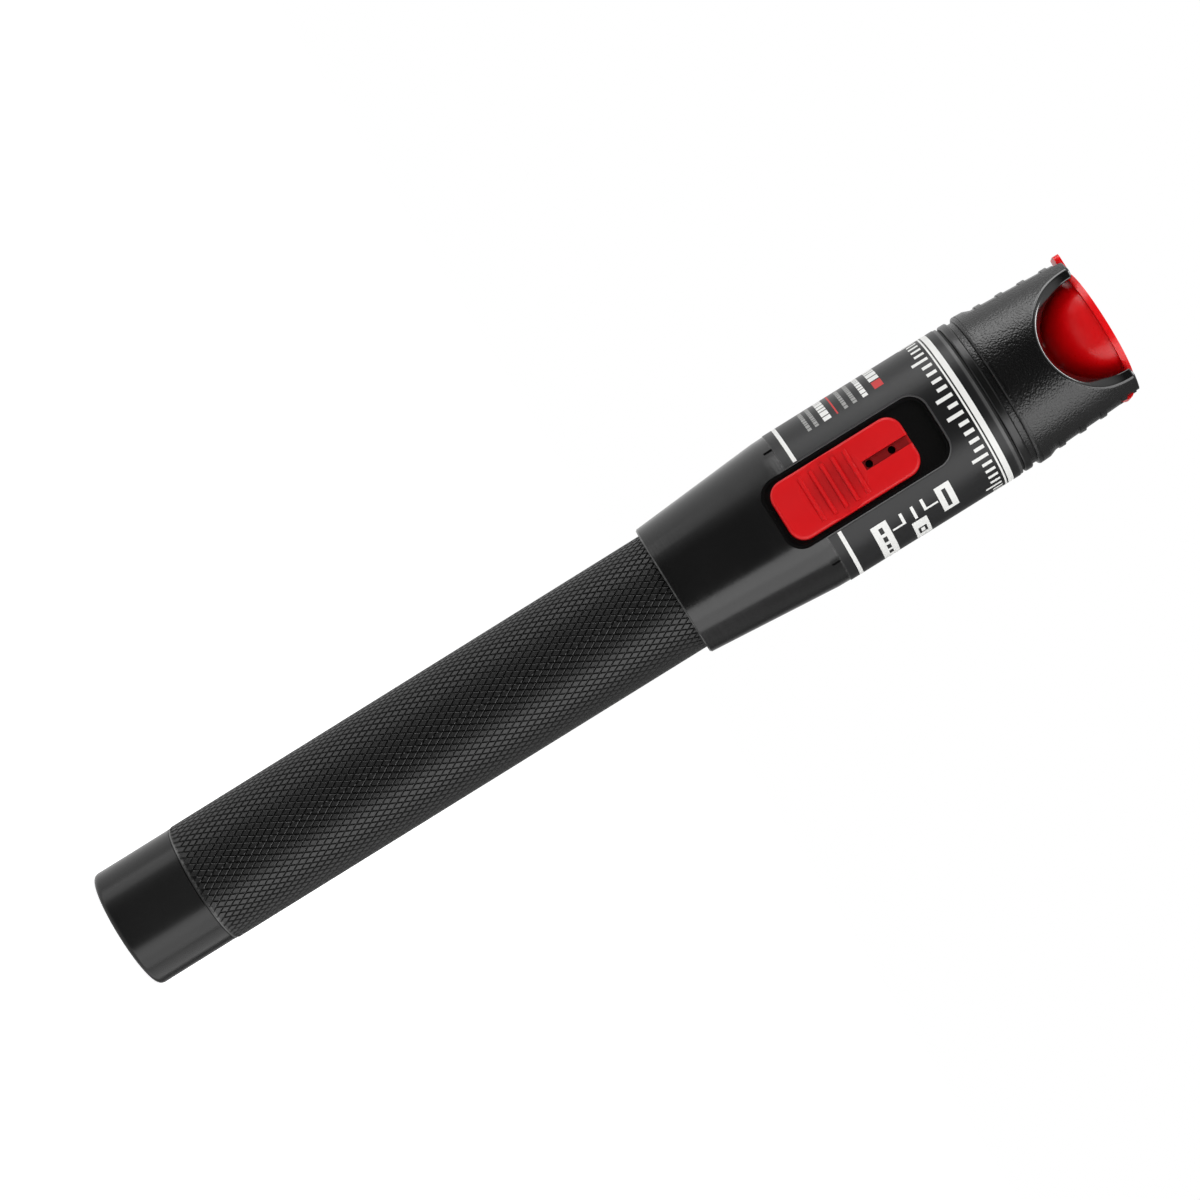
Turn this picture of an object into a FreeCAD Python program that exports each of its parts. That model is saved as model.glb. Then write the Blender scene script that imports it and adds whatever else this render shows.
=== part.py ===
import FreeCAD, Part
import math
import os

# Pen-type visual fault locator: a red-laser tester that lights up breaks in optical fibre.
#
# Frame: Z runs along the pen. The flat tail face lies on z = 0 and the fibre port looks up.
# The switch faces -Y. The dust cap hinges on the +X prong of the head.
# Lengths are millimetres and angles are degrees.

V = FreeCAD.Vector
X_AXIS, Y_AXIS, Z_AXIS = V(1, 0, 0), V(0, 1, 0), V(0, 0, 1)

# ------------------------------------------------------------------ clearances
slip = 0.05              # radial clearance of a screwed, pressed or running fit
air = 0.3                # gap between pieces that pass each other

# ------------------------------------------------------------------ cells and tail contact
cell_r = 7.1             # AA cell
cell_len = 50.0          # over the positive nub
cell_edge = 0.6
nub_r = 2.6
nub_h = 1.3
cell_gap = 0.35          # radial room round a cell
tail_contact_r = 6.4
tail_contact_t = 0.4
spring_h = 6.0           # fitted height
spring_r = 5.4           # first turn, to the middle of the wire
spring_tip_r = 3.6       # last turn
spring_wire_r = 0.45
spring_turns = 4
thin_sides = 6           # sides given to the section of thin wire and O-rings

# ------------------------------------------------------------------ tail cap
cap_len = 13.9
cap_inset = 0.05         # smaller in radius than the tube
cap_edge = 0.9
cap_floor = 2.4
spigot_wall = 1.2
spigot_len = 6.0
oring_r = 0.3            # half the thickness of both O-rings
oring_offset = 1.0       # from a shoulder to the middle of its O-ring

# ------------------------------------------------------------------ battery tube
tube_wall = 1.3          # round the tail cap's spigot, to the knurl's mean surface
thread_wall = 1.75       # screwed front end
thread_relief = 1.5      # between the front end and the contact carrier
tube_seat = 3.0          # full diameter that reaches into the collar

# ------------------------------------------------------------------ collar
collar_lap = 9.0         # the upper cell reaches this far into the collar
collar_len = 24.4
collar_step = 1.14       # its rear face stands proud of the tube
collar_front_inset = 0.05
collar_band = 2.2        # straight stretch at the front
collar_edge = 0.25
notch_len = 1.5          # shallow step at the front edge, round the switch
notch_depth = 0.2
notch_half_angle = 51.4

# ------------------------------------------------------------------ contact carrier
carrier_lip = 1.0        # wider than the tube's thread
carrier_t = 2.6
rivet_head_r = 3.0
rivet_head_h = 0.8
rivet_r = 1.0
solder_tab_w = 2.4
solder_tab_t = 0.4
solder_tab_h = 4.0

# ------------------------------------------------------------------ switch housing and label
front_land = 8.0         # from the pocket to the housing's front edge
housing_wall = 1.6
neck_spigot_step = 0.8   # rear spigot wider than the contact carrier
collar_lip = 2.0         # collar round that spigot
neck_spigot_wall = 1.4
neck_spigot_len = 7.5
label_t = 0.1
label_margin = 0.5       # bare housing between the label and the front edge
label_window = 0.25      # the label stands back from the pocket's edge

# ------------------------------------------------------------------ slider, pocket and switch
button_len = 22.95
button_w = 9.9
button_corner = 2.6
button_proud = 1.0       # crown above the housing
button_crown_r = 16.0
button_edge = 0.6
button_tail_gap = 1.2    # to the pocket's tail end at rest
button_head_gap = 0.85   # to the pocket's head end at full travel
travel = 4.0
pocket_lap = 5.7         # the pocket reaches this far into the collar
pocket_w = 12.0
pocket_corner = 3.0
tray_depth = 3.4         # pocket floor below the housing's crest
tray_floor = 1.0
tray_wall = 0.45
tray_rim_drop = 2.0      # rim below the housing's crest
flange_t = 0.8
flange_drop = 0.1        # flange below the basin's underside
switch_gap = 0.1         # between the flange and the slide switch
flange_extra = 1.3       # flange wider than the basin, each side
boss_r = 1.7
boss_inset = 3.2         # from the pocket's ends
dish_start = 4.15        # finger dish, from the button's tail end
dish_len = 10.6
dish_depth = 0.85
ridge_count = 5
ridge_pitch = 1.98
ridge_w = 0.7
ridge_len = 7.6
ridge_h = 0.45
channel_w = 1.55
channel_len = 8.1
channel_depth = 1.4
hole_r = 0.6
hole_depth = 2.0
hole_first = 7.2         # hole centres, from the button's head end
hole_second = 3.2
lever_w = 1.8
lever_len = 2.2
lever_grip = 1.1         # lever inside the button
switch_w = 4.8
switch_len = 12.0
switch_h = 3.6
switch_slot_depth = 1.8

# ------------------------------------------------------------------ circuit board
board_w = 16.0
board_t = 1.6
board_seat = 1.0         # board inside the carrier's slot
board_head_gap = 1.3     # board's end behind the pocket's head end
screw_r = 0.8
screw_head_r = 1.5
screw_head_h = 0.9
screw_len = 4.0

# ------------------------------------------------------------------ front ring and head
seal_t = 0.4
groove_depth = 0.4       # seal and neck below the housing's surface
ring_len = 1.5
ring_proud = 0.05
ring_edge = 0.35
head_spigot_wall = 1.5
head_spigot_len = 7.7
neck_len = 0.9
shroud_len = 19.0
shroud_proud = 0.24      # rear edge beyond the housing
shroud_taper = 1.04      # smaller in radius at the head's end
shroud_wall = 1.4
shroud_edge = 0.5
web_lift = 1.0
web_t = 3.0
cut_r = 9.86             # round cut-outs at the front and back
cut_drop = 0.8           # their centre below the head's end
bead_len = 0.6           # bead at the shroud's rear edge, behind a fine groove
bead_groove_w = 0.2
bead_groove_depth = 0.15
panel_start = 2.2        # grip panels on the two prongs
panel_ramp = 1.2         # their sloping start
panel_depth = 0.4
panel_half_angle = 23.0
rib_start = 4.6
rib_pitch = 3.85
rib_count = 4
rib_w = 1.0
rib_h = 0.22
tab_notch_depth = 1.3

# ------------------------------------------------------------------ laser module and fibre port
barrel_r = 4.5
barrel_gap = 0.1         # behind it, to the board
barrel_flange_r = 6.2
barrel_flange_t = 1.5
diode_r = 2.8
diode_t = 1.2
diode_inset = 0.3
can_r = 2.1
can_len = 2.4
pin_lead_r = 0.23
pin_lead_len = 4.5
pin_circle_r = 1.0
lens_r = 1.75
lens_t = 2.2
lens_bow = 0.45
aperture_r = 0.8
aperture_t = 0.6
port_spigot_r = 3.0
port_spigot_len = 6.4
port_flange_r = 5.0
port_flange_t = 1.2
port_r = 3.3
mouth_room = 0.2         # mouth wider than the sleeve's bore
port_lip = 0.8
sleeve_bore_r = 1.25     # 2.5 mm ferrule
sleeve_wall = 0.35
sleeve_slit = 0.3

# ------------------------------------------------------------------ dust cap and its hinge
bowl_gap = 2.1           # between the bowl's rim and the prongs
bowl_wall = 0.9
bowl_drop = 0.6          # bowl's centre below the head's end
cap_flange_out = 0.8     # flange beyond the bowl
cap_flange_t = 1.0
boss_seal_r = 2.0
boss_seal_h = 0.6
tab_w = 6.0
tab_out = 0.6            # tab beyond the head's end radius
tab_corner = 1.0
pin_r = 0.45
pin_inset = 0.2          # pin's axis outside the shroud's bore
pin_drop = 2.0           # pin's axis below the head's end
pin_embed = 1.4          # pin in the prong, each side of the knuckle
knuckle_wall = 0.6
knuckle_w = 4.7
knuckle_side_gap = 0.15

# ------------------------------------------------------------------ radii, from the cells outwards
bay_r = cell_r + cell_gap
spigot_r = bay_r + spigot_wall
tube_r = spigot_r + slip + tube_wall
cap_r = tube_r - cap_inset
thread_r = bay_r + thread_wall
carrier_r = thread_r + carrier_lip
neck_spigot_r = carrier_r + neck_spigot_step
neck_bore_r = neck_spigot_r - neck_spigot_wall
housing_r = neck_spigot_r + collar_lip
housing_bore_r = housing_r - housing_wall
collar_r = tube_r + collar_step
collar_front_r = housing_r - collar_front_inset
seal_r = housing_r - groove_depth
ring_r = housing_r + ring_proud
head_spigot_r = housing_bore_r - slip
head_spigot_bore_r = head_spigot_r - head_spigot_wall
shroud_r = housing_r + shroud_proud
shroud_end_r = shroud_r - shroud_taper
shroud_bore_r = shroud_end_r - shroud_wall
port_mouth_r = sleeve_bore_r + mouth_room
bowl_r = shroud_bore_r - bowl_gap
cap_flange_r = bowl_r + cap_flange_out
knuckle_r = pin_r + slip + knuckle_wall
pin_len = knuckle_w + 2 * knuckle_side_gap + 2 * pin_embed
x_pin = shroud_bore_r + pin_inset

# ------------------------------------------------------------------ stations along the pen
z_tail_contact = cap_floor
z_spring = z_tail_contact + tail_contact_t
z_cell = z_spring + spring_h + air
z_cells_end = z_cell + 2 * cell_len
z_carrier = z_cells_end + rivet_head_h
z_carrier_end = z_carrier + carrier_t
z_collar = z_cells_end - collar_lap
z_collar_end = z_collar + collar_len
z_neck_spigot = z_collar_end - neck_spigot_len
pocket_len = button_tail_gap + button_len + travel + button_head_gap
z_pocket = z_collar_end - pocket_lap
z_pocket_end = z_pocket + pocket_len
z_button = z_pocket + button_tail_gap
z_lever = z_button + button_len / 2
z_switch = z_lever + travel / 2
z_board = z_carrier_end - board_seat
z_board_end = z_pocket_end - board_head_gap
z_barrel = z_board_end + barrel_gap
z_housing_end = z_pocket_end + front_land
z_ring = z_housing_end + seal_t
z_neck = z_ring + ring_len
z_shroud = z_neck + neck_len
z_web = z_shroud + web_lift
z_web_end = z_web + web_t
z_head_end = z_shroud + shroud_len
z_bowl = z_head_end - bowl_drop
z_pole = z_bowl - bowl_r
z_boss = z_pole - boss_seal_h
z_port_end = z_boss - air
z_pin = z_head_end - pin_drop

# ------------------------------------------------------------------ heights of the switch parts
y_floor = -(housing_r - tray_depth)
y_tray_under = y_floor + tray_floor
y_flange = y_tray_under + flange_drop
y_switch = y_flange + flange_t + switch_gap
y_board = y_switch + switch_h
y_board_far = y_board + board_t
y_button_under = y_floor - air
y_button_top = -(housing_r + button_proud)


# ------------------------------------------------------------------ small helpers
def rod(r, z0, z1):
    """Solid cylinder on the pen's axis."""
    return Part.makeCylinder(r, z1 - z0, V(0, 0, z0))


def tube(r_out, r_in, z0, z1):
    """Hollow cylinder on the pen's axis."""
    return rod(r_out, z0, z1).cut(rod(r_in, z0, z1))


def turned(profile):
    """Solid of revolution about Z from (radius, height) corners."""
    corners = [V(r, 0, z) for r, z in profile]
    face = Part.Face(Part.makePolygon(corners + corners[:1]))
    return face.revolve(V(0, 0, 0), Z_AXIS, 360)


def block(x0, x1, y0, y1, z0, z1):
    """Box between two opposite corners."""
    return Part.makeBox(x1 - x0, y1 - y0, z1 - z0, V(x0, y0, z0))


def stadium(width, z0, z1, corner, y0, y1):
    """Prism along Y with a rounded rectangle for its section."""
    body = block(-width / 2, width / 2, y0, y1, z0, z1)
    edges = [e for e in body.Edges if abs(e.tangentAt(e.FirstParameter).y) > 0.99]
    return body.makeFillet(corner, edges)


def thin_section(centre, tip, side, radius):
    """Corners of the section of a thin wire or ring, the first one toward the tip."""
    turns = [math.tau * k / thin_sides for k in range(thin_sides)]
    return [centre + tip * (radius * math.cos(t)) + side * (radius * math.sin(t)) for t in turns]


def rims(shape, radius, z, tol=0.01):
    """Circular edges of the given radius that lie at height z."""
    found = []
    for edge in shape.Edges:
        if isinstance(edge.Curve, Part.Circle) and abs(edge.Curve.Radius - radius) < tol:
            if abs(edge.Curve.Center.z - z) < tol:
                found.append(edge)
    return found


def oring(shaft_r, z):
    """O-ring in a groove that is cut into a shaft."""
    corners = thin_section(V(shaft_r - oring_r, 0, z), X_AXIS, Z_AXIS, oring_r)
    return turned([(corner.x, corner.z) for corner in corners])


def oring_groove(shaft_r, z):
    """Groove for that O-ring, a little roomier than the ring."""
    half = oring_r + slip
    return tube(shaft_r + oring_r, shaft_r - 2 * oring_r - slip, z - half, z + half)


def pocket_prism(grow, y0, y1):
    """Outline of the switch pocket, grown sideways and lengthways."""
    width = pocket_w + 2 * grow
    return stadium(width, z_pocket - grow, z_pocket_end + grow, pocket_corner + grow, y0, y1)


# ------------------------------------------------------------------ tail end
def make_tail_cap():
    """Cup with a screwed spigot that closes the battery bay and is the foot of the pen."""
    body = rod(cap_r, 0, cap_len).fuse(rod(spigot_r, cap_len, cap_len + spigot_len)).removeSplitter()
    body = body.makeFillet(cap_edge, rims(body, cap_r, 0))
    body = body.cut(rod(bay_r, cap_floor, cap_len + spigot_len))
    return body.cut(oring_groove(spigot_r, cap_len + oring_offset))


def make_tail_cap_seal():
    return oring(spigot_r, cap_len + oring_offset)


def make_tail_contact():
    return rod(tail_contact_r, z_tail_contact, z_tail_contact + tail_contact_t)


def make_battery_spring():
    """Conical coil that pushes the cells forward."""
    rise = spring_h - 2 * spring_wire_r
    cone = math.degrees(math.atan((spring_r - spring_tip_r) / rise))
    helix = Part.makeLongHelix(rise / spring_turns, rise, spring_tip_r, cone)
    first = helix.Edges[0]
    start, along = first.valueAt(first.FirstParameter), first.tangentAt(first.FirstParameter)
    out = V(start.x, start.y, 0).normalize()
    corners = thin_section(start, out.cross(along), out, spring_wire_r)
    section = Part.makePolygon(corners + corners[:1])
    coil = Part.Wire(helix.Edges).makePipeShell([section], True, True)
    coil.rotate(V(0, 0, 0), X_AXIS, 180)
    coil.translate(V(0, 0, z_spring + spring_h - spring_wire_r))
    return coil


def make_battery(z0):
    """Sealed AA cell with its positive nub up."""
    shoulder = z0 + cell_len - nub_h
    can = rod(cell_r, z0, shoulder)
    can = can.makeFillet(cell_edge, rims(can, cell_r, z0) + rims(can, cell_r, shoulder))
    return can.fuse(rod(nub_r, shoulder, z0 + cell_len)).removeSplitter()


def make_battery_tube():
    """Knurled grip tube, shown at the knurl's mean surface."""
    z_seat = z_collar + tube_seat
    z_front = z_carrier - thread_relief
    body = rod(tube_r, cap_len, z_seat).fuse(rod(thread_r, z_seat, z_front)).removeSplitter()
    body = body.cut(rod(bay_r, cap_len, z_front))
    body = body.cut(rod(spigot_r + slip, cap_len, cap_len + spigot_len + air))
    return body.cut(oring_groove(thread_r, z_seat + oring_offset))


def make_tube_front_seal():
    return oring(thread_r, z_collar + tube_seat + oring_offset)


# ------------------------------------------------------------------ collar and contact carrier
def make_collar():
    """Tapered sleeve between the grip tube and the switch housing."""
    z_band = z_collar_end - collar_band
    body = turned([
        (0, z_collar), (collar_r - collar_edge, z_collar), (collar_r, z_collar + collar_edge),
        (collar_front_r, z_band), (housing_r, z_collar_end), (0, z_collar_end),
    ])
    body = body.cut(rod(tube_r + slip, z_collar, z_collar + tube_seat))
    body = body.cut(rod(thread_r + slip, z_collar, z_carrier))
    body = body.cut(rod(carrier_r + slip, z_carrier, z_collar_end))
    body = body.cut(rod(neck_spigot_r + slip, z_neck_spigot, z_collar_end))
    body = body.cut(front_step())
    return body.cut(pocket_prism(0, y_button_top, y_tray_under))


def front_step():
    """Sector of a thin ring: the shallow step at the collar's front edge."""
    outer = housing_r + 1
    inner = collar_front_r - notch_depth
    sector = Part.makeCylinder(outer, notch_len, V(0, 0, z_collar_end - notch_len), Z_AXIS, 2 * notch_half_angle)
    sector.rotate(V(0, 0, 0), Z_AXIS, -90 - notch_half_angle)
    return sector.cut(rod(inner, z_collar_end - notch_len, z_collar_end))


def make_contact_carrier():
    """Moulded disc that holds the positive contact and the tail end of the board."""
    body = rod(carrier_r, z_carrier, z_carrier_end)
    body = body.cut(rod(rivet_r, z_carrier, z_carrier_end))
    half = board_w / 2 + slip
    slot = block(-half, half, y_board - slip, y_board_far + slip, z_board, z_carrier_end)
    return body.cut(slot)


def make_positive_contact():
    """Rivet against the upper cell, with a solder tab that climbs the board."""
    head = rod(rivet_head_r, z_cells_end, z_carrier)
    shank = rod(rivet_r, z_carrier, z_carrier_end)
    half = solder_tab_w / 2
    foot = block(-half, half, y_board_far, half, z_carrier_end, z_carrier_end + solder_tab_t)
    riser = block(-half, half, y_board_far, y_board_far + solder_tab_t, z_carrier_end, z_carrier_end + solder_tab_h)
    return head.fuse([shank, foot, riser]).removeSplitter()


# ------------------------------------------------------------------ switch housing
def make_switch_housing():
    """Barrel with the switch pocket, and a rear spigot for the collar."""
    z_bore = z_collar_end + housing_wall
    body = rod(housing_r, z_collar_end, z_housing_end)
    body = body.fuse(rod(neck_spigot_r, z_neck_spigot, z_collar_end)).removeSplitter()
    body = body.cut(rod(neck_bore_r, z_neck_spigot, z_bore))
    body = body.cut(rod(housing_bore_r, z_bore, z_housing_end))
    return body.cut(pocket_prism(0, y_button_top, y_tray_under))


def make_label_wrap():
    """Thin printed wrap round the housing."""
    body = tube(housing_r + label_t, housing_r, z_collar_end, z_housing_end - label_margin)
    return body.cut(pocket_prism(label_window, y_button_top, y_tray_under))


def make_switch_tray():
    """Basin that lines the pocket, with a flange inside the housing and two board bosses."""
    outside = pocket_prism(-slip, -(housing_r - tray_rim_drop), y_tray_under)
    inside = pocket_prism(-slip - tray_wall, -housing_r, y_floor)
    basin = outside.cut(inside)
    half = pocket_w / 2 + flange_extra
    z_flange = z_collar_end + housing_wall + air
    flange = block(-half, half, y_flange, y_flange + flange_t, z_flange, z_pocket_end + flange_extra)
    joint = block(-pocket_w / 2 + 1, pocket_w / 2 - 1, y_tray_under - 0.1, y_flange + 0.1, z_flange, z_pocket_end - 1)
    body = basin.fuse([flange, joint])
    for z in (z_pocket + boss_inset, z_pocket_end - boss_inset):
        body = body.fuse(Part.makeCylinder(boss_r, y_board - y_floor, V(0, y_floor, z), Y_AXIS))
    for z in (z_pocket + boss_inset, z_pocket_end - boss_inset):
        pilot = Part.makeCylinder(screw_r, screw_len, V(0, y_board - screw_len + board_t, z), Y_AXIS)
        body = body.cut(pilot)
    gap = lever_w / 2 + air
    reach = lever_len / 2 + travel / 2 + air
    slot = block(-gap, gap, y_floor - 1, y_switch, z_switch - reach, z_switch + reach)
    return body.cut(slot).removeSplitter()


# ------------------------------------------------------------------ slider and switch
def make_slider_button():
    """Crowned thumb slider with a ribbed finger dish and an open channel."""
    blank = stadium(button_w, z_button, z_button + button_len, button_corner, y_button_top - 1, y_button_under)
    crown = Part.makeCylinder(button_crown_r, button_len, V(0, y_button_top + button_crown_r, z_button))
    body = blank.common(crown)
    top = [e for e in body.Edges if e.BoundBox.YMax < y_button_top + 2 and e.Length > 0.1]
    body = body.makeFillet(button_edge, top)
    z_mid = z_button + dish_start + dish_len / 2
    sweep_r = (dish_len ** 2 / 4 + dish_depth ** 2) / (2 * dish_depth)
    y_sweep = y_button_top + dish_depth - sweep_r
    dish = Part.makeCylinder(sweep_r, button_w, V(-button_w / 2, y_sweep, z_mid), X_AXIS)
    body = body.cut(dish)
    for index in range(ridge_count):
        offset = (index - (ridge_count - 1) / 2) * ridge_pitch
        y_surface = y_sweep + math.sqrt(sweep_r ** 2 - offset ** 2)
        body = body.fuse(finger_ridge(z_mid + offset, y_surface))
    end = z_button + button_len
    half = channel_w / 2
    body = body.cut(block(-half, half, y_button_top - 1, y_button_top + channel_depth, end - channel_len, end))
    for setback in (hole_first, hole_second):
        start = V(0, y_button_top, end - setback)
        body = body.cut(Part.makeCylinder(hole_r, channel_depth + hole_depth, start, Y_AXIS))
    grip = lever_w / 2 + slip
    reach = lever_len / 2 + slip
    socket = block(-grip, grip, y_button_under - lever_grip, y_button_under, z_lever - reach, z_lever + reach)
    return body.cut(socket).removeSplitter()


def finger_ridge(z, y_surface):
    """One rounded bar across the finger dish."""
    half = ridge_len / 2
    bar = block(-half, half, y_surface - ridge_h, y_surface + ridge_w, z - ridge_w / 2, z + ridge_w / 2)
    top = [e for e in bar.Edges if e.BoundBox.YMax < y_surface and e.Length > ridge_w * 2]
    return bar.makeFillet(ridge_w * 0.4, top)


def make_switch_lever():
    """Actuator of the slide switch, held in the button."""
    half_w = lever_w / 2
    half_len = lever_len / 2
    y_tip = y_switch + switch_slot_depth - air
    return block(-half_w, half_w, y_button_under - lever_grip, y_tip, z_lever - half_len, z_lever + half_len)


def make_slide_switch():
    """Board-mounted slide switch with its slot."""
    half = switch_w / 2
    body = block(-half, half, y_switch, y_board, z_switch - switch_len / 2, z_switch + switch_len / 2)
    gap = lever_w / 2 + air
    reach = lever_len / 2 + travel / 2 + air
    slot = block(-gap, gap, y_switch, y_switch + switch_slot_depth, z_switch - reach, z_switch + reach)
    return body.cut(slot)


def make_circuit_board():
    """Driver board, slotted into the carrier and screwed to the tray."""
    body = block(-board_w / 2, board_w / 2, y_board, y_board_far, z_board, z_board_end)
    for z in (z_pocket + boss_inset, z_pocket_end - boss_inset):
        body = body.cut(Part.makeCylinder(screw_r, board_t, V(0, y_board, z), Y_AXIS))
    return body


def make_board_screws():
    """Two pan-head screws as one group."""
    screws = []
    for z in (z_pocket + boss_inset, z_pocket_end - boss_inset):
        shank = Part.makeCylinder(screw_r, screw_len, V(0, y_board_far - screw_len, z), Y_AXIS)
        head = Part.makeCylinder(screw_head_r, screw_head_h, V(0, y_board_far, z), Y_AXIS)
        screws.append(shank.fuse(head).removeSplitter())
    return Part.makeCompound(screws)


# ------------------------------------------------------------------ laser module and port
def make_laser_barrel():
    """Turned brass barrel that holds the diode, the lens and the port."""
    z_port = z_web_end - port_spigot_len
    body = rod(barrel_r, z_barrel, z_web_end)
    body = body.fuse(rod(barrel_flange_r, z_web - barrel_flange_t, z_web)).removeSplitter()
    z_diode_end = z_barrel + diode_inset + diode_t
    body = body.cut(rod(diode_r + slip, z_barrel, z_diode_end))
    body = body.cut(rod(can_r + slip, z_diode_end, z_diode_end + can_len + air))
    body = body.cut(rod(lens_r + slip, z_diode_end, z_port - aperture_t))
    body = body.cut(rod(aperture_r, z_diode_end, z_port))
    return body.cut(rod(port_spigot_r + slip, z_port, z_web_end))


def make_laser_diode():
    """Metal-can diode with three leads."""
    z_flange = z_barrel + diode_inset
    body = rod(diode_r, z_flange, z_flange + diode_t)
    body = body.fuse(rod(can_r, z_flange + diode_t, z_flange + diode_t + can_len))
    for angle in (0, 90, 180):
        x = pin_circle_r * math.cos(math.radians(angle))
        y = pin_circle_r * math.sin(math.radians(angle))
        body = body.fuse(Part.makeCylinder(pin_lead_r, pin_lead_len, V(x, y, z_flange - pin_lead_len)))
    return body.removeSplitter()


def make_focusing_lens():
    """Biconvex lens that rests on the aperture's shoulder."""
    z1 = z_web_end - port_spigot_len - aperture_t
    body = rod(lens_r, z1 - lens_t, z1)
    bow_r = (lens_r ** 2 + lens_bow ** 2) / (2 * lens_bow)
    lower = Part.makeSphere(bow_r, V(0, 0, z1 - lens_t + bow_r))
    upper = Part.makeSphere(bow_r, V(0, 0, z1 - bow_r))
    return body.common(lower).common(upper)


def make_port_nose():
    """Screwed-in nose that guides the ferrule."""
    z0 = z_web_end - port_spigot_len
    z_flange_end = z_web_end + port_flange_t
    body = rod(port_spigot_r, z0, z_web_end)
    body = body.fuse([rod(port_flange_r, z_web_end, z_flange_end), rod(port_r, z_flange_end, z_port_end)])
    body = body.removeSplitter()
    body = body.makeChamfer(port_lip / 2, rims(body, port_r, z_port_end))
    body = body.cut(rod(sleeve_bore_r + sleeve_wall + slip, z0, z_port_end - port_lip))
    body = body.cut(rod(port_mouth_r, z0, z_port_end))
    for side in (-1, 1):
        flat = block(-port_flange_r, port_flange_r, 0, port_flange_r, z_web_end, z_flange_end)
        flat.translate(V(0, port_r + slip, 0))
        if side < 0:
            flat.rotate(V(0, 0, 0), Z_AXIS, 180)
        body = body.cut(flat)
    return body


def make_ferrule_sleeve():
    """Split ceramic sleeve that centres the ferrule."""
    z0 = z_web_end - port_spigot_len
    outer = sleeve_bore_r + sleeve_wall
    body = tube(outer, sleeve_bore_r, z0, z_port_end - port_lip)
    return body.cut(block(-sleeve_slit / 2, sleeve_slit / 2, 0, outer + slip, z0, z_port_end))


# ------------------------------------------------------------------ front ring and head
def make_head_seal():
    return tube(seal_r, head_spigot_r + slip, z_housing_end, z_ring)


def make_front_ring():
    """Plain ring with rounded edges between the housing and the head."""
    body = rod(ring_r, z_ring, z_neck)
    body = body.makeFillet(ring_edge, rims(body, ring_r, z_ring) + rims(body, ring_r, z_neck))
    return body.cut(rod(head_spigot_r + slip, z_ring, z_neck))


def shroud_radius(z):
    """Outer radius of the tapered shroud at height z."""
    share = (z - z_shroud) / shroud_len
    return shroud_r + (shroud_end_r - shroud_r) * share


def round_cut():
    """Cutter for one round cut-out: its walls run towards the pen's axis."""
    z_centre = z_head_end - cut_drop
    last = math.degrees(math.acos(-cut_drop / cut_r))
    steps = 16
    slopes = []
    for step in range(steps + 1):
        angle = math.radians(-last + 2 * last * step / steps)
        x = cut_r * math.sin(angle)
        z = z_centre - cut_r * math.cos(angle)
        slopes.append((x / math.sqrt(shroud_radius(z) ** 2 - x ** 2), z))
    sections = []
    for y in (0.4 * shroud_end_r, 1.3 * shroud_r):
        curve = Part.BSplineCurve()
        curve.interpolate([V(slope * y, -y, z) for slope, z in slopes])
        low, high = V(slopes[0][0] * y, -y, z_head_end), V(slopes[-1][0] * y, -y, z_head_end)
        rise = V(0, 0, cut_drop * 2)
        cap = Part.makePolygon([high, high + rise, low + rise, low])
        sections.append(Part.Wire([curve.toShape()] + cap.Edges))
    return Part.makeLoft(sections, True, True)


def grip_panel(side):
    """Cutter for the recessed, ribbed panel on one prong."""
    z0 = z_shroud + panel_start
    z_floor = z0 + panel_ramp
    sector = Part.makeCylinder(shroud_r + 1, z_head_end - z0, V(0, 0, z0), Z_AXIS, 2 * panel_half_angle)
    sector.rotate(V(0, 0, 0), Z_AXIS, -panel_half_angle + (0 if side > 0 else 180))
    core = turned([
        (0, z0), (shroud_radius(z0), z0), (shroud_radius(z_floor) - panel_depth, z_floor),
        (shroud_end_r - panel_depth, z_head_end), (0, z_head_end),
    ])
    panel = sector.cut(core)
    for index in range(rib_count):
        z_rib = z_shroud + rib_start + index * rib_pitch
        if z_rib + rib_w / 2 < z_head_end:
            crest = shroud_radius(z_rib) - panel_depth + rib_h
            panel = panel.cut(rod(crest, z_rib - rib_w / 2, z_rib + rib_w / 2))
    return panel


def on_surface(edge):
    """True if an edge runs on the shroud's tapered surface, ahead of the web."""
    for share in (0, 0.25, 0.5, 0.75, 1):
        point = edge.valueAt(edge.FirstParameter + share * (edge.LastParameter - edge.FirstParameter))
        if point.z < z_web_end or abs(math.hypot(point.x, point.y) - shroud_radius(point.z)) > slip / 2:
            return False
    return True


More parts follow.
